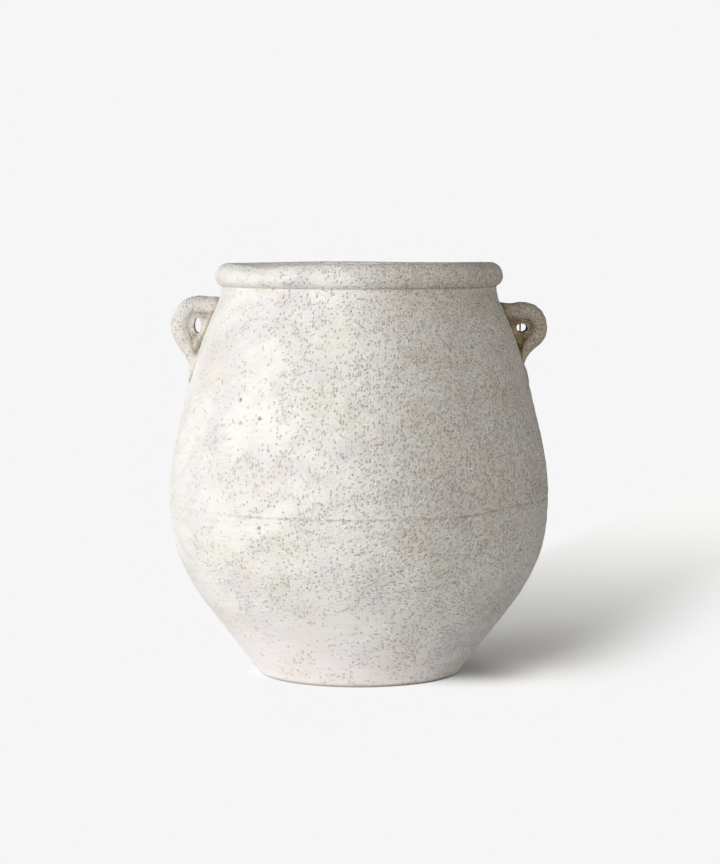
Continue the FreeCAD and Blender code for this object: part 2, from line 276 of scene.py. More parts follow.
def spin_piece(name, points, steps, closed=True):
    """A piece drawn by extruding one corner round its section and spinning that about the axis."""
    bpy.ops.object.select_all(action="DESELECT")
    start = Vector((points[0].x, 0, points[0].y)) * MM
    bpy.ops.mesh.primitive_plane_add(size=0.001, location=start)
    piece = bpy.context.object
    piece.name = piece.data.name = name
    bpy.ops.object.transform_apply(location=True)
    bpy.ops.object.mode_set(mode="EDIT")
    bpy.ops.mesh.merge(type="CENTER")
    ends = points[1:] + points[:1] if closed else points[1:]
    for before, after in zip(points, ends):
        step = Vector((after.x - before.x, 0, after.y - before.y)) * MM
        bpy.ops.mesh.extrude_region_move(TRANSFORM_OT_translate={"value": step})
    bpy.ops.mesh.select_all(action="SELECT")
    bpy.ops.mesh.remove_doubles(threshold=1e-6)
    bpy.ops.mesh.spin(steps=steps, angle=math.tau, center=(0, 0, 0), axis=(0, 0, 1))
    bpy.ops.mesh.select_all(action="SELECT")
    bpy.ops.mesh.remove_doubles(threshold=1e-5)
    bpy.ops.mesh.normals_make_consistent(inside=False)
    bpy.ops.object.mode_set(mode="OBJECT")
    return piece


def corners_of(piece):
    """The piece's corners as rows of x, y and z, in metres."""
    flat = np.empty(len(piece.data.vertices) * 3)
    piece.data.vertices.foreach_get("co", flat)
    return flat.reshape(-1, 3)


def move_corners(piece, corners):
    """Puts the piece's corners where the rows say."""
    piece.data.vertices.foreach_set("co", corners.ravel())
    piece.data.update()


def waves(corners, seed, size):
    """Smooth noise from -1 to 1 at each corner, whose lumps are size millimetres apart."""
    shift = SEEDS[seed]
    scale = 1 / (size * MM)
    return np.array([noise.noise(Vector(c) * scale + shift) for c in corners])


def ease(low, high, values):
    """Rises smoothly from 0 at low to 1 at high."""
    share = np.clip((values - low) / (high - low), 0, 1)
    return share * share * (3 - 2 * share)


SEAM_CLIMB = 5.2  # how much higher the belly seam is on the right of the front
SEAM_REACH = 0.85  # from its middle to where it is a third as deep


def seam_height(angle):
    """Height of the belly seam in millimetres, at an angle from the front to the right."""
    belly = sizes().belly_height / MM
    return belly + SEAM_CLIMB * (ease(0.45, 0.95, angle) * (1 - ease(1.3, 2.4, angle)) - 0.5)


def seam_mark(corners):
    """How deep the belly seam is at each corner, from 0 to 1. It comes and goes in stitches."""
    x, y, z = corners.T
    away = z / MM - seam_height(np.arctan2(x, -y))
    stitch = 0.3 + 0.7 * ease(-0.25, 0.25, waves(corners, "stitch", 4.5))
    stitch *= 0.25 + 0.75 * ease(-1.0, -0.5, np.arctan2(x, -y))
    return stitch * np.exp(-((away / SEAM_REACH) ** 2))


# Each dip or rise of the rim: its place round the jar in degrees from the viewer towards the
# right handle, its half width in degrees and its height in millimetres.
RIM_SWAY = [
    (-46, 19, -2.4),
    (40, 34, 1.0),
    (150, 40, -1.8),
    (-125, 48, -1.7),
]


def rim_sway(angle):
    """How far the crown of the rim rises or dips, in millimetres."""
    rise = np.zeros_like(angle)
    for place, width, height in RIM_SWAY:
        away = np.angle(np.exp(1j * (angle - math.radians(place))))
        rise += height * np.exp(-((away / math.radians(width)) ** 2))
    return rise


def broad_sway(corners):
    """How far the thrown wall strays outward from a true round, in millimetres."""
    return sizes().sway / MM * waves(corners, "sway", 130)


def thrown(corners, inside):
    """The corners as the potter's hands left them. Inside is 1 in the jar and 0 outside it."""
    s = sizes()
    x, y, z = corners.T
    radius = np.maximum(np.hypot(x, y), 1e-6)
    angle = np.arctan2(x, -y)
    height = z / MM
    drift = waves(corners, "drift", 60)
    turns = height / (s.ring_spacing / MM) + angle / math.tau + 0.5 * drift
    rings = np.sin(turns * math.tau) * s.ring_depth / MM * (0.55 + 0.45 * drift)
    fingers = np.abs(np.sin(turns * math.pi)) * s.finger_depth / MM
    lumps = s.lump / MM * (waves(corners, "lump", 34) + 0.5 * waves(corners, "lump", 15))
    dents = s.dent / MM * (waves(corners, "dent", 7.5) + 0.6 * waves(corners, "grain", 4.2))
    seam = s.seam_depth / MM * seam_mark(corners)
    outside = rings + lumps + dents - seam
    offset = broad_sway(corners) + outside * (1 - inside) + (lumps - fingers) * inside
    # The foot stays level and the middle of the disc flat.
    offset *= ease(0, 8, height) * ease(20 * MM, 60 * MM, radius)
    moved = corners.copy()
    moved[:, 0] += x / radius * offset * MM
    moved[:, 1] += y / radius * offset * MM
    seat = (s.pot_height - s.rim_height) / MM
    moved[:, 2] += rim_sway(angle) * ease(seat, s.pot_height / MM, height) * MM
    return moved


def add_attribute(piece, name, values):
    """Stores a number for each corner, for the material to read."""
    layer = piece.data.attributes.new(name, "FLOAT", "POINT")
    layer.data.foreach_set("value", np.asarray(values, np.float32))


def pick_piece(piece):
    """Makes the piece the one that the next operator works on."""
    bpy.ops.object.select_all(action="DESELECT")
    piece.select_set(True)
    bpy.context.view_layer.objects.active = piece


def finish_piece(piece, node, slot="slipped_clay", angle=35):
    """Smooths the piece, gives it its finish and puts it in the frame."""
    pick_piece(piece)
    bpy.ops.object.shade_smooth_by_angle(angle=math.radians(angle), keep_sharp_edges=False)
    piece.data.materials.clear()
    piece.data.materials.append(materials()[slot])
    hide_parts(node)
    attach(piece, "root")


def throw_piece(name, corners, inner_reach=None):
    """Spins a piece and shapes it by hand. Corners closer to the axis than inner_reach, a
    function of height, lie inside the jar."""
    piece = spin_piece(name, section(corners), sizes().steps)
    places = corners_of(piece)
    inside = np.zeros(len(places))
    if inner_reach:
        middle = inner_reach(places[:, 2] / MM)
        inside = (np.hypot(places[:, 0], places[:, 1]) / MM < middle).astype(float)
    move_corners(piece, thrown(places, inside))
    add_attribute(piece, "inside", inside)
    add_attribute(piece, "seam", seam_mark(places) * (1 - inside))
    return piece


def mid_wall(height):
    """The radius half way through the wall at a height, both in millimetres."""
    o = outline()
    wall = sizes().wall / MM
    rows = [
        ("edge", FOOT_WALL), ("cone", CONE_WALL), ("hip", HIP_WALL), ("belly", wall),
        ("shoulder", wall), ("slope", wall), ("collar", wall), ("seat", NECK_WALL),
    ]
    ups = [o[name][1] for name, thick in rows]
    across = [o[name][0] - thick / 2 for name, thick in rows]
    return np.interp(height, ups, across)


def scored_groove(across, up):
    """The groove of a scored joint, from the outside in."""
    half = KEY_WIDTH / 2
    low = up - KEY_DEPTH
    return [(across + half, up, 0, 0, 3), (across, low, 0, 0, 3), (across - half, up, 0, 0, 6)]


def scored_ridge(across, up):
    """The ridge of a scored joint, from the inside out."""
    half = KEY_WIDTH / 2 - SLIP_GAP
    low = up - KEY_DEPTH + SLIP_GAP
    return [(across - half, up, 0, 0, 3), (across, low, 0, 0, 3), (across + half, up, 0, 0, 6)]


# The steps of a section, in millimetres: where it shows, inside, and at the belly seam.
FINE = 1.75
COARSE = 6
SEAM_STEP = 0.7

# How far in and up from the belly the finely stepped band of the seam starts, below and above.
BAND_BELOW = (0.15, -7)
BAND_ABOVE = (0.13, 9)

# The wire that cut the jar off the wheel left arcs under the foot. Their middle is this far to
# the left, and this is how far apart and how deep they are, in millimetres.
WIRE_CENTRE = 190
WIRE_SPACING = 5.2
WIRE_DEPTH = 0.35


class PITHOS_OT_base_disc(bpy.types.Operator):
    """Adds the flat disc that the jar stands on, cut from the wheel with a wire"""

    bl_idname = "pithos.base_disc"
    bl_label = "Base disc"

    def execute(self, context):
        o = outline()
        foot, worn = o["foot"][0], sizes().foot_round / MM
        edge, floor = o["edge"]
        # The worn edge turns through the wall's lean, which sets how far back along each side
        # it starts.
        lean = math.atan2(floor, edge - foot)
        reach = worn * math.tan(lean / 2)
        corners = [
            (0, 0, 0, 0, 3),
            (foot - reach, 0, worn, BULGES, 0.8),
            (foot + reach * math.cos(lean), reach * math.sin(lean), 0, 0, FINE),
            (edge, floor, 0, 0, 4),
            *scored_groove(edge - FOOT_WALL / 2, floor),
            (0, floor, 0, 0, 3),
        ]
        points = open_section(corners)
        piece = spin_piece("base_disc_piece", points, sizes().steps, closed=False)
        places = corners_of(piece)
        under = places[:, 2] < 0.1 * MM
        radius = np.hypot(places[:, 0], places[:, 1]) / MM
        arcs = np.hypot(places[:, 0] / MM + WIRE_CENTRE, places[:, 1] / MM)
        drag = 0.5 + 0.5 * np.sin(arcs / WIRE_SPACING * math.tau + 2 * waves(places, "drift", 40))
        moved = thrown(places, np.zeros(len(places)))
        moved[under, 2] += (drag * WIRE_DEPTH * MM * ease(0, 6, foot - 8 - radius))[under]
        move_corners(piece, moved)
        bare = (radius < foot - 4) & (under | (places[:, 2] > (floor - 5) * MM))
        add_attribute(piece, "inside", bare.astype(float))
        finish_piece(piece, "base_disc")
        return {"FINISHED"}


def open_section(corners):
    """A section that begins and ends on the axis."""
    points = []
    for before, after in zip(corners, corners[1:]):
        points += arc_points(before[:2], after[:2], *before[2:])
    return points + [Vector(corners[-1][:2])]


class PITHOS_OT_floor_coil(bpy.types.Operator):
    """Adds the soft coil pressed into the corner between floor and wall"""

    bl_idname = "pithos.floor_coil"
    bl_label = "Floor coil"

    def execute(self, context):
        o = outline()
        corner, cone = o["corner_in"], o["cone_in"]
        top = Vector(corner).lerp(Vector(cone), FLOOR_COIL_SHARE)
        piece = spin_piece("floor_coil_piece", section([
            (corner[0] - FLOOR_COIL_WIDTH, corner[1], 0, 0, 8),
            (*corner, 0, 0, 8),
            (*top, FLOOR_COIL_ARC, DIPS, 2.5),
        ]), 360)
        press_coil(piece, 24, 0.9)
        add_attribute(piece, "inside", np.ones(len(piece.data.vertices)))
        finish_piece(piece, "floor_coil", "bare_clay")
        return {"FINISHED"}


class PITHOS_OT_seam_coil(bpy.types.Operator):
    """Adds the soft coil pressed over the inside of the belly joint"""

    bl_idname = "pithos.seam_coil"
    bl_label = "Seam coil"

    def execute(self, context):
        o = outline()
        piece = spin_piece("seam_coil_piece", section([
            (*o["seam_low"], 0, 0, 3),
            (*o["seam_high"], SEAM_COIL_ARC, BULGES, 2),
        ]), 360)
        press_coil(piece, 34, 0.7)
        add_attribute(piece, "inside", np.ones(len(piece.data.vertices)))
        finish_piece(piece, "seam_coil", "bare_clay")
        return {"FINISHED"}


def press_coil(piece, count, depth):
    """Presses a row of finger dents into the face of a coil, count of them round the jar."""
    places = corners_of(piece)
    x, y, z = places.T
    radius = np.hypot(x, y)
    angle = np.arctan2(x, -y)
    edge = ease(0, 3, (radius.max() - radius) / MM)
    wander = 0.6 * waves(places, "drift", 50)
    dent = depth * np.abs(np.sin((angle * count + wander * math.tau) / 2)) * edge
    outward = (dent + broad_sway(places) * edge) * MM
    places[:, 0] += x / radius * outward
    places[:, 1] += y / radius * outward
    move_corners(piece, places)


class PITHOS_OT_lower_wall(bpy.types.Operator):
    """Adds the lower wall, from the foot to the belly"""

    bl_idname = "pithos.lower_wall"
    bl_label = "Lower wall"

    def execute(self, context):
        o = outline()
        up, wall = o["belly"][1], sizes().wall / MM
        near = (o["belly"][0] - BAND_BELOW[0], up + BAND_BELOW[1])
        piece = throw_piece("lower_wall_piece", [
            (*o["edge"], 0, 0, FINE),
            (*o["cone"], ARCS["cone"], BULGES, FINE),
            (*o["hip"], ARCS["hip"], BULGES, FINE),
            (*near, 0, 0, SEAM_STEP),
            (*o["belly"], 0, 0, 5),
            *scored_groove(o["belly"][0] - wall / 2, up),
            (*o["belly_in"], 0, 0, COARSE),
            (*o["seam_low"], ARCS["hip"] - wall, DIPS, COARSE),
            (*o["hip_in"], ARCS["cone"] - HIP_WALL, DIPS, COARSE),
            (*o["cone_in"], 0, 0, COARSE),
            (*o["corner_in"], 0, 0, COARSE),
            *scored_ridge(o["edge"][0] - FOOT_WALL / 2, o["edge"][1]),
        ], mid_wall)
        finish_piece(piece, "lower_wall")
        return {"FINISHED"}


class PITHOS_OT_upper_wall(bpy.types.Operator):
    """Adds the upper wall, from the belly over the shoulder to the neck"""

    bl_idname = "pithos.upper_wall"
    bl_label = "Upper wall"

    def execute(self, context):
        o = outline()
        up, wall = o["belly"][1], sizes().wall / MM
        near = (o["belly"][0] - BAND_ABOVE[0], up + BAND_ABOVE[1])
        piece = throw_piece("upper_wall_piece", [
            (*o["belly"], 0, 0, SEAM_STEP),
            (*near, ARCS["belly"], BULGES, FINE),
            (*o["shoulder"], ARCS["shoulder"], BULGES, FINE),
            (*o["slope"], ARCS["slope"], BULGES, FINE),
            (*o["collar"], ARCS["collar"], DIPS, 1.2),
            (*o["neck"], 0, 0, 1),
            (*o["seat"], 0, 0, 3),
            *scored_groove(o["seat"][0] - NECK_WALL / 2, o["seat"][1]),
            (*o["seat_in"], 0, 0, 2),
            (*o["neck_in"], 0, 0, 4),
            (*o["collar_in"], ARCS["slope"] - wall, DIPS, COARSE),
            (*o["slope_in"], ARCS["shoulder"] - wall, DIPS, COARSE),
            (*o["shoulder_in"], ARCS["belly"] - wall, DIPS, COARSE),
            (*o["seam_high"], 0, 0, COARSE),
            (*o["belly_in"], 0, 0, 5),
            *scored_ridge(o["belly"][0] - wall / 2, up),
        ], mid_wall)
        finish_piece(piece, "upper_wall")
        return {"FINISHED"}


class PITHOS_OT_rolled_rim(bpy.types.Operator):
    """Adds the thick rolled rim, which sways as the potter's fingers left it"""

    bl_idname = "pithos.rolled_rim"
    bl_label = "Rolled rim"

    def execute(self, context):
        o = outline()
        piece = throw_piece("rolled_rim_piece", [
            (*o["seat"], ARCS["seat"], BULGES, 0.9),
            (*o["rim"], ARCS["rim"], BULGES, 1.2),
            (*o["crown"], ARCS["crown"], BULGES, 1.2),
            (*o["lip"], 0, 0, 2.5),
            (*o["throat"], 0, 0, 4),
            *scored_ridge(o["seat"][0] - NECK_WALL / 2, o["seat"][1]),
        ], lambda height: np.where(height < o["lip"][1], o["lip"][0] + 1.5, 0))
        finish_piece(piece, "rolled_rim")
        return {"FINISHED"}


# Each handle is a coil of clay drawn through these sections. A row holds how far out and how
# high the section stands, how far the coil has turned from pointing straight out (degrees), and
# its thickness and width, all in millimetres.
RIGHT_COIL = [
    (112.0, 305.0, 5, 25.5, 37.7),
    (121.5, 305.3, 5, 20.4, 31.7),
    (130.5, 305.9, 0, 18.0, 27.6),
    (140.8, 308.6, 10, 18.5, 26.0),
    (150.2, 304.0, 50, 18.5, 26.0),
    (153.1, 294.3, 90, 17.5, 26.0),
    (149.4, 285.4, 125, 16.7, 25.5),
    (141.5, 281.0, 136, 15.6, 25.5),
    (136.5, 272.5, 114, 13.6, 27.6),
    (133.1, 263.0, 102, 12.6, 28.6),
    (131.0, 253.0, 98, 11.9, 29.1),
]
LEFT_COIL = [
    (112.0, 308.0, 2, 23.1, 37.7),
    (121.0, 310.3, 2, 21.8, 31.7),
    (129.0, 312.0, -3, 17.3, 27.6),
    (139.0, 314.2, 12, 18.5, 26.0),
    (148.2, 307.6, 48, 19.2, 26.0),
    (151.5, 297.6, 88, 21.2, 26.0),
    (148.8, 286.5, 112, 18.5, 25.5),
    (142.5, 277.5, 118, 15.1, 25.5),
    (138.5, 267.0, 108, 13.3, 27.0),
    (133.0, 256.5, 100, 12.9, 28.1),
]

# Pads of clay smeared on by the thumb where a coil meets the wall: how far out and how high the
# middle stands, and the pad's length along the wall, thickness and width, in millimetres.
RIGHT_PADS = [
    (129.0, 292.0, 46, 13, 26),
    (137.0, 260.0, 34, 8, 38),
    (138.5, 294.0, 36, 30, 19),
    (136.0, 280.0, 22, 13, 23),
]
LEFT_PADS = [
    (129.0, 295.0, 48, 13, 26),
    (138.0, 263.0, 34, 8, 38),
    (138.0, 297.0, 40, 31, 20),
    (137.5, 280.0, 22, 15, 24),
]

# The eye of each handle, poked through from the front and the back: how far out and how high its
# middle stands, its width and height there, and how much wider it opens at the handle's faces.
RIGHT_EYE = (137.7, 294.4, 4.2, 2.2, 7.0)
LEFT_EYE = (136.4, 296.6, 2.0, 8.2, 6.5)
FINGER = (15, 6.5)  # how long each funnel is, and how far its middle stands from the strap's

# The thin strand of clay left standing across the right handle's eye: how far out and how high
# its middle stands, its radius and its length, in millimetres.
STRAND = (136.7, 293.5, 0.7, 12)


def draw_coil(name, side, rows):
    """Extrudes a round of clay through the rows of a handle."""
    bpy.ops.object.select_all(action="DESELECT")
    out, up, turn, thick, wide = rows[0]
    spot = Vector((side * out, 0, up)) * MM
    bpy.ops.mesh.primitive_circle_add(
        vertices=32, radius=0.5, fill_type="NGON", location=spot, rotation=(0, math.pi / 2, 0)
    )
    coil = bpy.context.object
    coil.name = coil.data.name = name
    bpy.ops.object.transform_apply(location=True, rotation=True)
    bpy.ops.object.mode_set(mode="EDIT")
    bpy.ops.mesh.select_all(action="SELECT")
    before = (side * out, up, 0, 1 / MM, 1 / MM)
    for number, (out, up, turn, thick, wide) in enumerate(rows):
        spot = Vector((side * out, 0, up)) * MM
        if number:
            shift = spot - Vector((before[0], 0, before[1])) * MM
            bpy.ops.mesh.extrude_region_move(TRANSFORM_OT_translate={"value": shift})
        lean = side * math.radians(turn - before[2])
        if lean:
            bpy.ops.transform.rotate(
                value=-lean, orient_axis="Y", orient_type="GLOBAL", center_override=spot
            )
        even = thick / before[3]
        bpy.ops.transform.resize(value=(even, even, even), center_override=spot)
        bpy.ops.transform.resize(value=(1, wide / before[4] / even, 1), center_override=spot)
        before = (side * out, up, turn, thick, wide)
    bpy.ops.mesh.select_all(action="SELECT")
    bpy.ops.mesh.normals_make_consistent(inside=False)
    bpy.ops.object.mode_set(mode="OBJECT")
    return coil


def draw_pad(side, row):
    """A ball of clay pressed flat against the slope of the wall."""
    out, up, long, thick, wide = row
    o = outline()
    lean = math.atan2(o["slope"][0] - o["collar"][0], o["collar"][1] - o["slope"][1])
    bpy.ops.object.select_all(action="DESELECT")
    bpy.ops.mesh.primitive_uv_sphere_add(
        segments=48, ring_count=24, radius=0.5, location=(side * out * MM, 0, up * MM),
        rotation=(0, -side * lean, 0), scale=(thick * MM, wide * MM, long * MM),
    )
    pad = bpy.context.object
    bpy.ops.object.transform_apply(location=True, rotation=True, scale=True)
    return pad


def wall_core(sunk):
    """The jar's solid shape from belly to seat, kept sunk millimetres inside its outside."""
    o = outline()
    places = [
        (0, o["belly"][1], 0, 0, 400),
        (*o["belly"], ARCS["belly"], BULGES, 4),
        (*o["shoulder"], ARCS["shoulder"], BULGES, 4),
        (*o["slope"], ARCS["slope"], BULGES, 4),
        (*o["collar"], ARCS["collar"], DIPS, 2),
        (*o["seat"], 0, 0, 400),
        (0, o["seat"][1], 0, 0, 400),
    ]
    core = spin_piece("wall_core", open_section(places), 240, closed=False)
    spots = corners_of(core)
    radius = np.maximum(np.hypot(spots[:, 0], spots[:, 1]), 1e-9)
    outward = (broad_sway(spots) - sunk) * MM * (radius > 0.01)
    spots[:, 0] += spots[:, 0] / radius * outward
    spots[:, 1] += spots[:, 1] / radius * outward
    move_corners(core, spots)
    return core


def apply_modifier(piece, kind, **settings):
    """Adds a modifier with its settings and applies it."""
    pick_piece(piece)
    modifier = piece.modifiers.new(kind.title(), kind)
    for name, value in settings.items():
        setattr(modifier, name, value)
    bpy.ops.object.modifier_apply(modifier=modifier.name)


def poke_eye(handle, side, eye):
    """Pokes the small funnel-shaped eye through a handle, from the front and from the back."""
    out, up, wide, high, flare = eye
    deep, forward = FINGER
    for face in (-1, 1):
        bpy.ops.object.select_all(action="DESELECT")
        bpy.ops.mesh.primitive_cone_add(
            vertices=64, radius1=(wide / 2 + flare) * MM, radius2=wide / 2 * MM, depth=deep * MM,
            location=(side * out * MM, face * forward * MM, up * MM),
            rotation=(-face * math.pi / 2, 0, 0),
        )
        finger = bpy.context.object
        bpy.ops.object.transform_apply(location=True, rotation=True, scale=True)
        places = corners_of(finger)
        away = places - np.array([side * out, 0, up]) * MM
        reach = np.maximum(np.hypot(away[:, 0], away[:, 2]), 1e-6)
        places[:, 2] += away[:, 2] / reach * (high - wide) / 2 * MM
        move_corners(finger, places)
        apply_modifier(handle, "BOOLEAN", operation="DIFFERENCE", object=finger, solver="EXACT")
        bpy.data.objects.remove(finger)


def draw_strand():
    """The thin strand of clay left standing across the right handle's eye."""
    bpy.ops.object.select_all(action="DESELECT")
    out, up, radius, long = STRAND
    bpy.ops.mesh.primitive_cylinder_add(
        vertices=16, radius=radius * MM, depth=long * MM, location=(out * MM, 0, up * MM)
    )
    strand = bpy.context.object
    bpy.ops.object.transform_apply(location=True)
    return strand


def join_to(piece, extras):
    """Joins the extra objects to the piece."""
    pick_piece(piece)
    for extra in extras:
        extra.select_set(True)
    bpy.ops.object.join()


def build_handle(name, side, rows, pads, eye, core):
    """One ear handle: coil and pads are joined, worked smooth and cut back to the wall."""
    coil = draw_coil(f"{name}_piece", side, rows)
    join_to(coil, [draw_pad(side, row) for row in pads])
    apply_modifier(coil, "SUBSURF", levels=1, render_levels=1)
    apply_modifier(coil, "REMESH", mode="VOXEL", voxel_size=0.8 * MM, use_smooth_shade=True)
    apply_modifier(coil, "SMOOTH", factor=0.5, iterations=8)
    poke_eye(coil, side, eye)
    if side > 0:
        join_to(coil, [draw_strand()])
    apply_modifier(coil, "REMESH", mode="VOXEL", voxel_size=0.6 * MM, use_smooth_shade=True)
    apply_modifier(coil, "SMOOTH", factor=0.5, iterations=5)
    places = corners_of(coil)
    radius = np.hypot(places[:, 0], places[:, 1])
    outward = broad_sway(places) * MM
    places[:, 0] += places[:, 0] / radius * outward
    places[:, 1] += places[:, 1] / radius * outward
    normals = np.empty(len(places) * 3)
    coil.data.vertices.foreach_get("normal", normals)
    rough = 0.5 * waves(places, "lump", 12) + 0.2 * waves(places, "dent", 4.5)
    places += normals.reshape(-1, 3) * rough[:, None] * MM
    move_corners(coil, places)
    apply_modifier(coil, "BOOLEAN", operation="DIFFERENCE", object=core, solver="EXACT")
    add_attribute(coil, "inside", np.zeros(len(coil.data.vertices)))
    add_attribute(coil, "ear", np.ones(len(coil.data.vertices)))
    finish_piece(coil, name, angle=50)


class PITHOS_OT_handles(bpy.types.Operator):
    """Adds the two ear handles, each bent and smeared on by hand"""

    bl_idname = "pithos.handles"
    bl_label = "Ear handles"

    def execute(self, context):
        core = wall_core(1.2)
        build_handle("right_handle", 1, RIGHT_COIL, RIGHT_PADS, RIGHT_EYE, core)
        build_handle("left_handle", -1, LEFT_COIL, LEFT_PADS, LEFT_EYE, core)
        bpy.data.objects.remove(core)
        return {"FINISHED"}


# How the shelter of a place is felt out: how far, in millimetres, and the rings of rays round its
# normal, each with a number of rays and its tilt in radians.
SHELTER_REACH = 16
SHELTER_RINGS = ((5, 0.35), (8, 0.85), (10, 1.25))


class PITHOS_OT_crease_stain_and_shade(bpy.types.Operator):
    """Works out how sheltered each place is, where the brush misses and stain settles and where
    the slip is painted with shade
    """

    bl_idname = "pithos.settle"
    bl_label = "Stain in creases"

    def execute(self, context):
        names = (
            "base_disc", "lower_wall", "upper_wall", "rolled_rim", "left_handle", "right_handle",
        )
        pieces = [bpy.data.objects[f"{name}_piece"] for name in names]
        mould = bmesh.new()
        for piece in pieces:
            mould.from_mesh(piece.data)
        tree = BVHTree.FromBMesh(mould)
        mould.free()
        rays = []
        for ring, tilt in SHELTER_RINGS:
            wide = math.sin(tilt)
            for spoke in range(ring):
                turn = math.tau * (spoke + tilt) / ring
                rays.append(Vector((wide * math.cos(turn), wide * math.sin(turn), math.cos(tilt))))
        for piece in pieces:
            places = corners_of(piece)
            found = np.zeros(len(places))
            for number in np.nonzero(near_creases(places))[0]:
                corner = piece.data.vertices[number]
                turn = corner.normal.to_track_quat("Z", "Y")
                start = corner.co + corner.normal * 0.3 * MM
                hits = 0
                for ray in rays:
                    place, _, _, far = tree.ray_cast(start, turn @ ray, SHELTER_REACH * MM)
                    if place is not None:
                        hits += 1 - 0.5 * far / (SHELTER_REACH * MM)
                found[number] = hits / len(rays)
            add_attribute(piece, "sheltered", found)
        return {"FINISHED"}


def near_creases(places):
    """True for corners near the handles or the crease under the rim."""
    x, y, z = places.T
    by_handles = (np.abs(x) > 100 * MM) & (np.abs(y) < 45 * MM) & (z > 235 * MM)
    by_rim = (z > 316 * MM) & (z < 340 * MM) & (np.hypot(x, y) > 112 * MM)
    return by_handles | by_rim


def add_node(tree, kind, *values, out=0, **settings):
    """Adds a shader node with its settings, and gives one of its outputs. The values, in a row or
    in one dictionary, are linked to its inputs or set there."""
    made = tree.nodes.new(f"ShaderNode{kind}")
    for name, value in settings.items():
        setattr(made, name, value)
    pairs = values[0] if values and isinstance(values[0], dict) else dict(enumerate(values))
    for name, value in pairs.items():
        if isinstance(value, bpy.types.NodeSocket):
            tree.links.new(value, made.inputs[name])
        else:
            made.inputs[name].default_value = value
    return made.outputs[out] if made.outputs else None


def new_material(name):
    """An empty node material, and the call that adds a node to it."""
    made = bpy.data.materials.new(name)
    made.use_nodes = True
    made.node_tree.nodes.clear()
    return made, partial(add_node, made.node_tree)


def clay_tints():
    """The colours of the clay and its slip, by name."""
    clay = bpy.context.scene.pithos_clay
    names = ("slip", "cream", "lilac", "thin", "bare", "stain", "speck")
    return {name: tuple(getattr(clay, name)) for name in names}


# Settings that many nodes share: a range that eases in and out, a product, a product with a sum
# after it, and a mix of two colours with its output.
SMOOTH = {"interpolation_type": "SMOOTHSTEP"}
TIMES = {"operation": "MULTIPLY"}
TIMES_PLUS = {"operation": "MULTIPLY_ADD"}
COLOURS = {"data_type": "RGBA", "out": 2}


def cloud(add, place, size, detail=2.0, rough=0.5, stretch=(1, 1, 1), shift=(0, 0, 0)):
    """Noise whose lumps are size millimetres apart, and longer along an axis as its stretch is
    smaller."""
    scale = [factor / (size * MM) for factor in stretch]
    spread = add("Mapping", {"Vector": place, "Location": shift, "Scale": scale})
    return add("TexNoise", {"Vector": spread, "Scale": 1.0, "Detail": detail, "Roughness": rough})


def cells(add, place, size, shift=(0, 0, 0)):
    """Cells size millimetres apart: the distance to each middle in cells, and two random numbers."""
    scale = 1 / (size * MM)
    spread = add("Mapping", {"Vector": place, "Location": shift, "Scale": (scale, scale, scale)})
    reach = add("TexVoronoi", {"Vector": spread, "Scale": 1.0})
    random = add("SeparateColor", reach.node.outputs["Color"]).node.outputs
    return reach, random[0], random[1]


# Where the slip was wiped smooth: a place on the wall and how far it reaches, and how far the
# edge of each wiped patch wanders, in millimetres.
WIPED = [
    ((-84, -97, 262), 46),
    ((-80, -118, 222), 40),
    ((-70, -92, 338), 34),
    ((-82, -132, 146), 38),
    ((-28, -102, 44), 46),
    ((-120, 90, 180), 60),
    ((90, 110, 230), 55),
]
WIPE_WANDER = 100


def wiped_patches(add, place, ragged):
    """The share of wiping at each place, with a ragged edge."""
    total = 0.0
    for spot, reach in WIPED:
        middle = [part * MM for part in spot]
        far = add("VectorMath", place, middle, out="Value", operation="DISTANCE")
        edge = add("Math", ragged, WIPE_WANDER * MM, far, **TIMES_PLUS)
        outer = (reach + WIPE_WANDER / 2) * MM
        inner = (reach * 0.45 + WIPE_WANDER / 2) * MM
        share = add("MapRange", edge, outer, inner, **SMOOTH)
        total = add("Math", total, share, operation="MAXIMUM")
    return total


# Where each effect on the slip comes in: along which axis, from where and to where, in
# millimetres. The slip is thick on the left of the jar and thin on its right, and the right is
# also painted darker, as painted shade.
SLIP_FADES = {
    "low": ("Z", 100, 20),
    "body": ("Z", 90, 170),
    "collar": ("Z", 270, 325),
    "fold": ("Z", 326, 318),
    "foot_edge": ("Z", 4.2, 0.8),
    "right": ("X", -30, 90),
    "left": ("X", 0, -120),
}
SLIP_END = (322, 296)  # between these heights the slip gives out inside the neck
BRUSH_RISE = 55  # how far the sweeps of the brush rise and fall
PIT_SPACING = 3.1
IRON_SPACING = 19


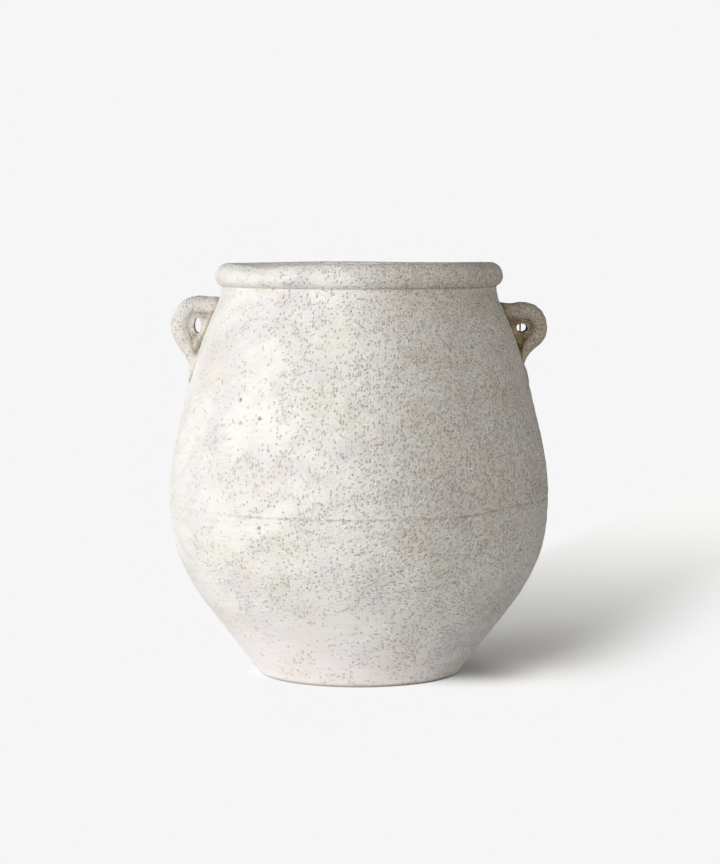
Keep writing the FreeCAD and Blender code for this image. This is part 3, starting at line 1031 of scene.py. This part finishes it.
def slip_coated_stoneware():
    """Gritty stoneware thrown on the wheel and brushed with white slip. It looks chalky and
    matt, with sand grains under the slip, brush streaks, iron specks and clouds of thin slip."""
    clay = bpy.context.scene.pithos_clay
    tint = clay_tints()
    made, add = new_material("slip_coated_gritty_stoneware_thrown")
    place = add("TexCoord", out="Object")
    inside, sheltered, seam, ear = (
        add("Attribute", out="Fac", attribute_name=name)
        for name in ("inside", "sheltered", "seam", "ear")
    )
    spot = add("SeparateXYZ", place).node.outputs
    fade = {
        name: add("MapRange", spot[axis], start * MM, end * MM, **SMOOTH)
        for name, (axis, start, end) in SLIP_FADES.items()
    }

    # The brush was drawn round the jar in sweeps that rise and fall.
    sweep = cloud(add, place, 90, detail=1.0, shift=(2, 7, 1))
    rise = BRUSH_RISE * MM
    lift = add("Math", sweep, rise, -rise / 2, **TIMES_PLUS)
    lifted = add("Math", spot["Z"], lift, operation="ADD")
    swept = add("CombineXYZ", spot["X"], spot["Y"], lifted)
    hair = clay.brush / MM
    streaks = cloud(add, swept, hair, detail=3.0, rough=0.6, stretch=(0.06, 0.06, 1))
    broad = cloud(add, swept, hair * 5, stretch=(0.12, 0.12, 1), shift=(4, 1, 3))

    # Grit shows through where the slip is thin. The slip is thinner up the right side, most on the
    # collar and the right handle and a little on both handles, partly as painted shade. The grit's
    # share rises towards the right, partly as painted shade, and falls near the foot as painted
    # light bounced from the floor. Where a wet hand wiped the slip it is smooth, white and a little
    # glossy.
    patch = cloud(add, place, 55, detail=3.0, rough=0.6, shift=(5, 3, 8))
    small = cloud(add, swept, 20, detail=3.0, rough=0.6, stretch=(0.6, 0.6, 1), shift=(1, 6, 2))
    wiped = wiped_patches(add, place, small)
    # Painted shade: the thin slip's share grows up the right side and on the handles.
    thin_slip_and_shade = 0.0
    for value, weight in ((fade["collar"], 0.42), (fade["body"], 0.24), (ear, 0.7)):
        part = add("Math", value, weight, **TIMES)
        thin_slip_and_shade = add("Math", thin_slip_and_shade, part, operation="MAXIMUM")
    thin_slip_and_shade = add("Math", thin_slip_and_shade, fade["right"], **TIMES)
    thin_slip_and_shade = add("Math", ear, 0.2, thin_slip_and_shade, **TIMES_PLUS)
    # Painted shade and light: the grit's share rises towards the right and falls near the foot.
    worn = -0.12
    for value, weight in (
        (patch, 0.75), (small, 0.7), (spot["X"], 3.2), (wiped, -0.3), (fade["low"], -0.3),
        (thin_slip_and_shade, 1.0),
    ):
        worn = add("Math", value, weight, worn, **TIMES_PLUS)
    grit_light_and_shade = add("MapRange", worn, -0.1, 1.05, **SMOOTH)

    # Clouds of cream, lilac and khaki, and streaks where the brush left the slip thin.
    cream = cloud(add, place, 48, detail=3.0, shift=(1, 9, 2))
    cream = add("MapRange", cream, 0.45, 0.72, **SMOOTH)
    lilac = cloud(add, swept, 38, stretch=(1, 1, 1.6), shift=(8, 2, 6))
    lilac = add("MapRange", lilac, 0.46, 0.66, **SMOOTH)
    lilac = add("Math", lilac, 0.5, **TIMES)
    pooled = add("Math", fade["low"], 0.45, **TIMES)
    lilac = add("Math", lilac, pooled, operation="MAXIMUM")
    khaki = cloud(add, swept, 26, detail=4.0, rough=0.6, shift=(3, 6, 9))
    khaki = add("MapRange", khaki, 0.5, 0.74, **SMOOTH)
    khaki = add("Math", khaki, grit_light_and_shade, **TIMES)
    thin = add("Math", broad, 0.4, **TIMES)
    thin = add("Math", streaks, 0.6, thin, **TIMES_PLUS)
    thin = add("MapRange", thin, 0.48, 0.72, **SMOOTH)
    thin = add("Math", thin, grit_light_and_shade, **TIMES)

    # Sand grains under the slip, with tan clay bared round them. They are drawn coarser than the
    # finest real ones, so that they show. The tops of raised grains are painted lighter, partly slip
    # left on them and partly a painted highlight.
    grit = clay.grit / MM
    grain = cloud(add, place, grit, detail=3.0, rough=0.6, shift=(6, 6, 1))
    reach, pick, tone = cells(add, place, grit * 1.35, shift=(2, 5, 7))
    for value, weight in ((grit_light_and_shade, 0.75), (small, 0.8)):
        pick = add("Math", value, weight, pick, **TIMES_PLUS)
    share = add("MapRange", pick, 1.05, 1.4, **SMOOTH)
    showing = add("Math", fade["left"], -0.3, 1.0, **TIMES_PLUS)
    share = add("Math", share, showing, **TIMES)
    raised = add("Math", grain, 0.8, reach, **TIMES_PLUS)
    raised = add("MapRange", raised, 0.9, 0.52, **SMOOTH)
    raised = add("Math", raised, share, **TIMES)
    bared = share
    for value, start, end in ((reach, 0.6, 0.2), (tone, 0.45, 0.8)):
        part = add("MapRange", value, start, end, **SMOOTH)
        bared = add("Math", bared, part, **TIMES)
    earth = add("Mix", {0: tone, 6: tint["bare"], 7: tint["thin"]}, **COLOURS)

    # Pits where a grain was torn out.
    reach, pick, dark = cells(add, place, PIT_SPACING, shift=(9, 1, 4))
    for value, weight in ((grit_light_and_shade, 0.45), (fade["left"], -0.04), (ear, -0.35)):
        pick = add("Math", value, weight, pick, **TIMES_PLUS)
    pits = add("MapRange", reach, 0.36, 0.16, **SMOOTH)
    chosen = add("MapRange", pick, 1.12, 1.24, **SMOOTH)
    pits = add("Math", pits, chosen, **TIMES)
    pitted = add("Math", dark, 0.35, 0.15, **TIMES_PLUS)
    pitted = add("Math", pits, pitted, **TIMES)
    dark = add("Math", dark, 0.6, **TIMES)
    pit_tone = add("Mix", {0: dark, 6: tint["stain"], 7: tint["speck"]}, **COLOURS)

    # A few specks of iron, each with a tan halo.
    reach, pick, _ = cells(add, place, IRON_SPACING, shift=(4, 4, 9))
    chosen = add("MapRange", pick, 0.68, 0.74, **SMOOTH)
    iron = add("MapRange", reach, 0.06, 0.03, **SMOOTH)
    iron = add("Math", iron, chosen, **TIMES)
    halo = add("MapRange", reach, 0.17, 0.05, **SMOOTH)
    halo = add("Math", halo, chosen, **TIMES)

    # Stain settles in creases, and the creases are also painted darker as shade where the rays found
    # shelter, most of all under the rim and on the right. The foot's edge is worn, and painted
    # darker there as contact shade, more and browner on the right. The inside is bare clay below the
    # throat.
    # Painted shade: sheltered creases are darkened, more under the rim and on the right.
    crease = add("Math", ear, 0.06, sheltered, **TIMES_PLUS)
    crease = add("MapRange", crease, 0.14, 0.46, **SMOOTH)
    for value, weight, least in ((fade["fold"], 0.6, 0.36), (fade["right"], 0.5, 0.5)):
        part = add("Math", value, weight, least, **TIMES_PLUS)
        crease = add("Math", crease, part, **TIMES)
    # Painted contact shade: the foot's bottom edge is darkened, more and browner on the right.
    part = add("Math", fade["right"], 0.35, 0.5, **TIMES_PLUS)
    foot_wear_and_shade = add("Math", fade["foot_edge"], part, **TIMES)
    edge_tone = add("Mix", {0: fade["right"], 6: tint["stain"], 7: tint["speck"]}, **COLOURS)
    deep = add("MapRange", lifted, SLIP_END[0] * MM, SLIP_END[1] * MM, **SMOOTH)
    unslipped = add("Math", inside, deep, **TIMES)

    # What lies on the slip, in order: where it is, how strong it is and its colour.
    shade = tint["slip"]
    for value, strength, tone_there in (
        (cream, 0.35, tint["cream"]), (lilac, 1.0, tint["lilac"]), (thin_slip_and_shade, 0.9, tint["thin"]),
        (khaki, 0.26, tint["thin"]), (thin, 0.2, tint["thin"]), (halo, 0.35, tint["stain"]),
        (bared, 0.42, earth), (raised, 0.15, tint["slip"]), (pitted, 1.0, pit_tone),
        (iron, 0.65, tint["speck"]), (crease, 1.0, tint["stain"]), (seam, 0.4, tint["stain"]),
        (unslipped, 1.0, tint["bare"]), (foot_wear_and_shade, 1.0, edge_tone),
    ):
        share = add("Math", value, strength, **TIMES)
        shade = add("Mix", {0: share, 6: shade, 7: tone_there}, **COLOURS)

    # The relief is stronger on the right, where the slip is thin.
    height = add("Math", grit_light_and_shade, 3.6, 0.6, **TIMES_PLUS)
    height = add("Math", grain, height, **TIMES)
    for value, weight in ((raised, 2.1), (pits, -0.5), (iron, -1.2), (streaks, 0.9), (broad, 0.9)):
        height = add("Math", value, weight, height, **TIMES_PLUS)
    relief = add("Math", fade["right"], 0.8, 1.0, **TIMES_PLUS)
    height = add("Math", height, relief, **TIMES)
    relief = clay.grit_height * 3.4
    normal = add("Bump", {"Strength": 1.0, "Distance": relief, "Height": height})
    rough = 0.66
    for value, weight in ((wiped, -0.14), (grit_light_and_shade, 0.2)):
        rough = add("Math", value, weight, rough, **TIMES_PLUS)
    add("OutputMaterial", add("BsdfPrincipled", {
        "Base Color": shade, "Roughness": rough, "Normal": normal, "IOR": 1.5,
    }))
    return made


def bare_stoneware():
    """Unglazed buff stoneware, pressed and sponged. It looks matt and sandy, with dark specks."""
    clay = bpy.context.scene.pithos_clay
    tint = clay_tints()
    made, add = new_material("bare_buff_stoneware_pressed")
    place = add("TexCoord", out="Object")
    pale = add("MapRange", cloud(add, place, 30, detail=3.0), 0.35, 0.7, **SMOOTH)
    grain = cloud(add, place, clay.grit / MM, rough=0.6)
    reach, pick, _ = cells(add, place, 3.6)
    specks = add("MapRange", reach, 0.26, 0.12, **SMOOTH)
    chosen = add("MapRange", pick, 0.7, 0.8, **SMOOTH)
    specks = add("Math", specks, chosen, **TIMES)
    shade = tint["bare"]
    for value, strength, tone in ((pale, 0.4, tint["thin"]), (specks, 0.7, tint["speck"])):
        share = add("Math", value, strength, **TIMES)
        shade = add("Mix", {0: share, 6: shade, 7: tone}, **COLOURS)
    height = add("Math", grain, specks, operation="SUBTRACT")
    relief = clay.grit_height * 1.5
    normal = add("Bump", {"Strength": 1.0, "Distance": relief, "Height": height})
    add("OutputMaterial", add("BsdfPrincipled", {
        "Base Color": shade, "Roughness": 0.85, "Normal": normal, "IOR": 1.5,
    }))
    return made


MADE = {}


def materials():
    """The finish of each material slot, made once."""
    if not MADE:
        MADE["slipped_clay"] = slip_coated_stoneware()
        MADE["bare_clay"] = bare_stoneware()
    return MADE


# The jar's shadow falls to the back right. On the paper, turned by so many degrees, X runs along
# the shadow and Y across it to the left, and each fade has an axis, a start and an end, in
# millimetres. Along part of the shadow and round the foot the paper is also painted darker, as
# painted shadow.
SHADOW_TURN = -71
SHADOW_FADES = {
    "right_edge": ("Y", -270, -110),
    "left_edge": ("Y", 100, 50),
    "start": ("X", -70, 30),
    "dark_start": ("X", 0, 130),
    "dark_end": ("X", 1500, 250),
    "contact_edge": ("Y", 10, -60),
}
SHADOW_END = (2400, 100)
# Painted contact shadow: inside this ring the paper is painted darker.
CONTACT_RING = (170, 90)  # how far from the axis the dark contact shade fades in


def studio_paper(open_light):
    """Seamless pale paper. The camera sees it as even as the photo's, apart from the jar's
    shadow, which falls to the back right and fades to either side. Behind the jar and round its
    foot the paper is also painted darker, as painted shadow. Open_light is how much light
    reaches the paper away from the jar."""
    white = tuple(bpy.context.scene.pithos_studio.paper)
    made, add = new_material("seamless_pale_paper")
    sight = add("LightPath", out="Is Camera Ray")
    place = add("TexCoord", out="Object")
    turn = (0, 0, math.radians(SHADOW_TURN))
    spot = add("SeparateXYZ", add("Mapping", {"Vector": place, "Rotation": turn})).node.outputs
    fade = {
        name: add("MapRange", spot[axis], start * MM, end * MM, **SMOOTH)
        for name, (axis, start, end) in SHADOW_FADES.items()
    }
    near = add("Math", fade["right_edge"], fade["left_edge"], **TIMES)
    share = add("MapRange", spot["X"], SHADOW_END[0] * MM, SHADOW_END[1] * MM)
    for part in (near, fade["start"]):
        share = add("Math", share, part, **TIMES)
    # Painted shadow: the paper's colour is darkened behind the jar and in a ring round its foot.
    painted_shadow = near
    for part in (fade["dark_end"], fade["dark_start"]):
        painted_shadow = add("Math", painted_shadow, part, **TIMES)
    reach = add("VectorMath", place, out="Value", operation="LENGTH")
    painted_contact_shadow = add("MapRange", reach, CONTACT_RING[0] * MM, CONTACT_RING[1] * MM, **SMOOTH)
    painted_contact_shadow = add("Math", painted_contact_shadow, fade["contact_edge"], **TIMES)
    tone, dim, darkest = (
        (*[channel * part / open_light for channel in white[:3]], 1) for part in (1, 0.68, 0.4)
    )
    for value, darker in ((painted_shadow, dim), (painted_contact_shadow, darkest)):
        tone = add("Mix", {0: value, 6: tone, 7: darker}, **COLOURS)
    shown = add("MixShader", share, add("Emission", white, 1.0), add("BsdfDiffuse", tone))
    add("OutputMaterial", add("MixShader", sight, add("BsdfDiffuse", white), shown))
    return made


# The soft lights from far off: the name, the setting that gives the strength and the share of it,
# how soft the light is, how far round it stands from the viewer to the right and how far up, all
# in degrees, and its colour.
LAMPS = (
    ("window", "key", 1.0, 40, -46, 12, (1.0, 1.0, 0.99)),
    ("far_left", "side", 1.0, 40, -72, 9, (1.0, 1.0, 0.99)),
    ("front", "front", 1.0, 34, -19, 24, (1.0, 1.0, 0.99)),
    ("right_wall", "fill", 1.0, 30, 55, 8, (1.0, 0.97, 0.93)),
    ("back_left", "fill", 0.45, 40, -140, 14, (1.0, 0.99, 0.97)),
    ("ceiling", "fill", 0.12, 40, -20, 62, (1.0, 1.0, 1.0)),
)


def add_sun(name, strength, softness, around, above, tint):
    """Adds one soft light, and gives how much it lights a level floor."""
    data = bpy.data.lights.new(name, "SUN")
    data.energy = strength
    data.angle = math.radians(softness)
    data.color = tint
    lamp = bpy.data.objects.new(name, data)
    around, above = math.radians(around), math.radians(above)
    level = math.cos(above)
    source = Vector((math.sin(around) * level, -math.cos(around) * level, math.sin(above)))
    lamp.rotation_euler = source.to_track_quat("Z", "Y").to_euler()
    bpy.context.scene.collection.objects.link(lamp)
    return strength * math.sin(above) / math.pi


class PITHOS_OT_stage(bpy.types.Operator):
    """Adds the paper floor, the soft studio light and the camera"""

    bl_idname = "pithos.stage"
    bl_label = "Stage"

    def execute(self, context):
        scene = context.scene
        studio = scene.pithos_studio
        bpy.ops.object.select_all(action="DESELECT")
        bpy.ops.mesh.primitive_plane_add(size=60, location=(0, 0, 0))
        floor = context.object
        floor.name = floor.data.name = "paper_floor"

        open_light = studio.room
        for name, setting, share, *rest in LAMPS:
            open_light += add_sun(name, getattr(studio, setting) * share, *rest)
        floor.data.materials.append(studio_paper(open_light))
        scene.world = bpy.data.worlds.new("studio_room")
        scene.world.use_nodes = True
        scene.world.node_tree.nodes.clear()
        add = partial(add_node, scene.world.node_tree)
        sight = add("LightPath", out="Is Camera Ray")
        room = add("Background", (1.0, 0.985, 0.96, 1), studio.room)
        paper = add("Background", tuple(studio.paper), 1.0)
        add("OutputWorld", add("MixShader", sight, room, paper))

        data = bpy.data.cameras.new("camera")
        data.lens = studio.lens
        data.sensor_width = 36
        camera = bpy.data.objects.new("camera", data)
        camera.location = (0.6 * MM, -studio.distance, studio.height)
        camera.rotation_euler = (math.pi / 2 - studio.tilt, 0, 0)
        scene.collection.objects.link(camera)
        scene.camera = camera
        scene.view_settings.view_transform = "Standard"
        return {"FINISHED"}


class PITHOS_PT_panel(bpy.types.Panel):
    """Lists the jar's sizes, colours and pieces"""

    bl_label = "Pithos"
    bl_space_type = "VIEW_3D"
    bl_region_type = "UI"
    bl_category = "Pithos"

    def draw(self, context):
        for group in ("pithos_sizes", "pithos_clay", "pithos_studio"):
            values = getattr(context.scene, group)
            box = self.layout.box()
            for name in values.__annotations__:
                box.prop(values, name)
        for operator in OPERATORS:
            self.layout.operator(operator.bl_idname)


OPERATORS = (
    PITHOS_OT_base_disc,
    PITHOS_OT_floor_coil,
    PITHOS_OT_lower_wall,
    PITHOS_OT_seam_coil,
    PITHOS_OT_upper_wall,
    PITHOS_OT_rolled_rim,
    PITHOS_OT_handles,
    PITHOS_OT_crease_stain_and_shade,
    PITHOS_OT_stage,
)
GROUPS = {"pithos_sizes": PithosSizes, "pithos_clay": PithosClay, "pithos_studio": PithosStudio}


def register():
    for made in (*GROUPS.values(), *OPERATORS, PITHOS_PT_panel):
        bpy.utils.register_class(made)
    for name, group in GROUPS.items():
        setattr(bpy.types.Scene, name, PointerProperty(type=group))


def unregister():
    for name in GROUPS:
        delattr(bpy.types.Scene, name)
    for made in (PITHOS_PT_panel, *reversed(OPERATORS), *reversed(GROUPS.values())):
        bpy.utils.unregister_class(made)


def main():
    register()
    bpy.ops.pithos.base_disc()
    bpy.ops.pithos.floor_coil()
    bpy.ops.pithos.lower_wall()
    bpy.ops.pithos.seam_coil()
    bpy.ops.pithos.upper_wall()
    bpy.ops.pithos.rolled_rim()
    bpy.ops.pithos.handles()
    bpy.ops.pithos.settle()
    bpy.ops.pithos.stage()


if __name__ == "__main__":
    main()
